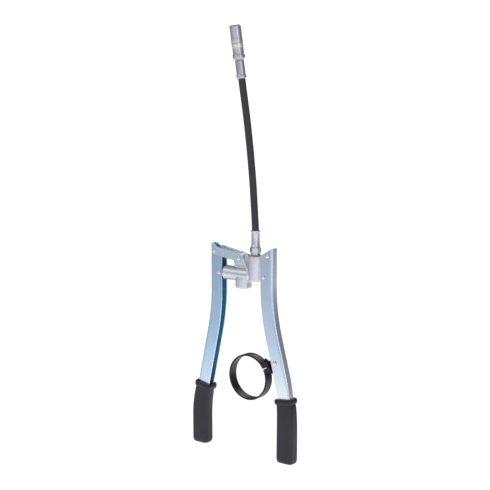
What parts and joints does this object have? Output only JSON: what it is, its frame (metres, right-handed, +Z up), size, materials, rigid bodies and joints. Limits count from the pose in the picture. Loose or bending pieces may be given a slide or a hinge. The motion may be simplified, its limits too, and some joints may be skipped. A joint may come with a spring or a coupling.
{
  "type": "grease gun",
  "caption": "Two-hand lever grease gun head with two gripped channel handles, a pump casting, a barrel clamp and a rubber hose with a jawed coupler.",
  "frame": {"origin": "middle of the fixed (right) grip, where the hand holds the gun", "axes": "+Z up along the handles towards the hose, +X from the moving handle to the fixed handle, -Y is the front"},
  "size_m": [0.173, 0.0486, 0.5857],
  "materials": {
    "zinc_plate": "blue-passivated zinc plating, satin",
    "cast_metal": "die-cast, fine satin grain",
    "bright_steel": "turned and plated, satin",
    "rivet_steel": "pressed heads, satin",
    "plain_steel": "ground",
    "brass": "turned",
    "washer_metal": "matt",
    "seal_rubber": "matt",
    "hose_rubber": "fine cloth-wrapped texture, matt",
    "grip_plastic": "soft vinyl, satin",
    "black_steel": "black plated, semi-gloss"
  },
  "bodies": {
    "gun_body": {"head_casting": "cast_metal", "fixed_handle": "zinc_plate", "fixed_grip": "grip_plastic", "head_rivet_upper": "rivet_steel", "head_rivet_lower": "rivet_steel", "plunger_bush": "brass", "plunger_seal": "seal_rubber", "valve_spring": "plain_steel", "sealing_washer": "washer_metal", "hose_fitting": "bright_steel", "lower_ferrule": "bright_steel", "hose": "hose_rubber", "upper_ferrule": "bright_steel", "coupler_body": "bright_steel", "coupler_cap": "bright_steel", "coupler_spring": "plain_steel", "hanger_rivet": "rivet_steel"},
    "link": {"link": "zinc_plate", "link_handle_pin": "rivet_steel", "link_head_pin": "rivet_steel"},
    "moving_handle": {"moving_handle": "zinc_plate", "moving_grip": "grip_plastic", "plunger_pin": "rivet_steel"},
    "plunger": {"plunger": "plain_steel"},
    "valve_ball": {"valve_ball": "plain_steel"},
    "coupler_jaws": {"coupler_jaws": "plain_steel", "coupler_piston": "plain_steel", "coupler_seal": "seal_rubber"},
    "clamp_hanger": {"clamp_hanger": "black_steel"},
    "barrel_clamp": {"clamp_band": "black_steel", "swivel_bolt": "black_steel", "clamp_nut": "black_steel"},
    "clamp_screw": {"clamp_screw": "black_steel"}
  },
  "joints": [
    {"name": "link_swing", "type": "hinge", "parent": "gun_body", "child": "link", "pos_m": [-0.0755, 0, 0.2297], "axis": [0, 1, 0], "range_deg": [-1, 0]},
    {"name": "handle_squeeze", "type": "hinge", "parent": "link", "child": "moving_handle", "pos_m": [-0.1181, 0, 0.2366], "axis": [0, 1, 0], "range_deg": [0, 36]},
    {"name": "plunger_stroke", "type": "slide", "parent": "gun_body", "child": "plunger", "axis": [-1, 0, 0], "range_m": [0, 0.0186]},
    {"name": "valve_lift", "type": "slide", "parent": "gun_body", "child": "valve_ball", "axis": [0, 0, 1], "range_m": [0, 0.0015], "stiffness_N_per_m": 40, "springref_m": -0.001, "deforming": ["valve_spring"]},
    {"name": "jaw_push", "type": "slide", "parent": "gun_body", "child": "coupler_jaws", "axis": [0.053, 0.1402, -0.9887], "range_m": [0, 0.0015], "stiffness_N_per_m": 300, "springref_m": -0.001, "deforming": ["coupler_spring"]},
    {"name": "hanger_tilt", "type": "hinge", "parent": "gun_body", "child": "clamp_hanger", "pos_m": [-0.0163, 0, 0.0919], "axis": [0, 1, 0], "range_deg": [0, 30]},
    {"name": "clamp_swivel", "type": "hinge", "parent": "clamp_hanger", "child": "barrel_clamp", "pos_m": [-0.0617, 0, 0.0654], "axis": [0.8636, 0, 0.5041], "continuous": true},
    {"name": "clamp_screw_turn", "type": "hinge", "parent": "barrel_clamp", "child": "clamp_screw", "pos_m": [-0.03018, 0, 0.0838], "axis": [-0.5041, 0, 0.8636], "continuous": true}
  ],
  "couplings": [
    {"joint": "link_swing", "follows": "handle_squeeze", "ratio": -0.0245},
    {"joint": "plunger_stroke", "follows": "handle_squeeze", "m_per_rad": 0.02944}
  ]
}
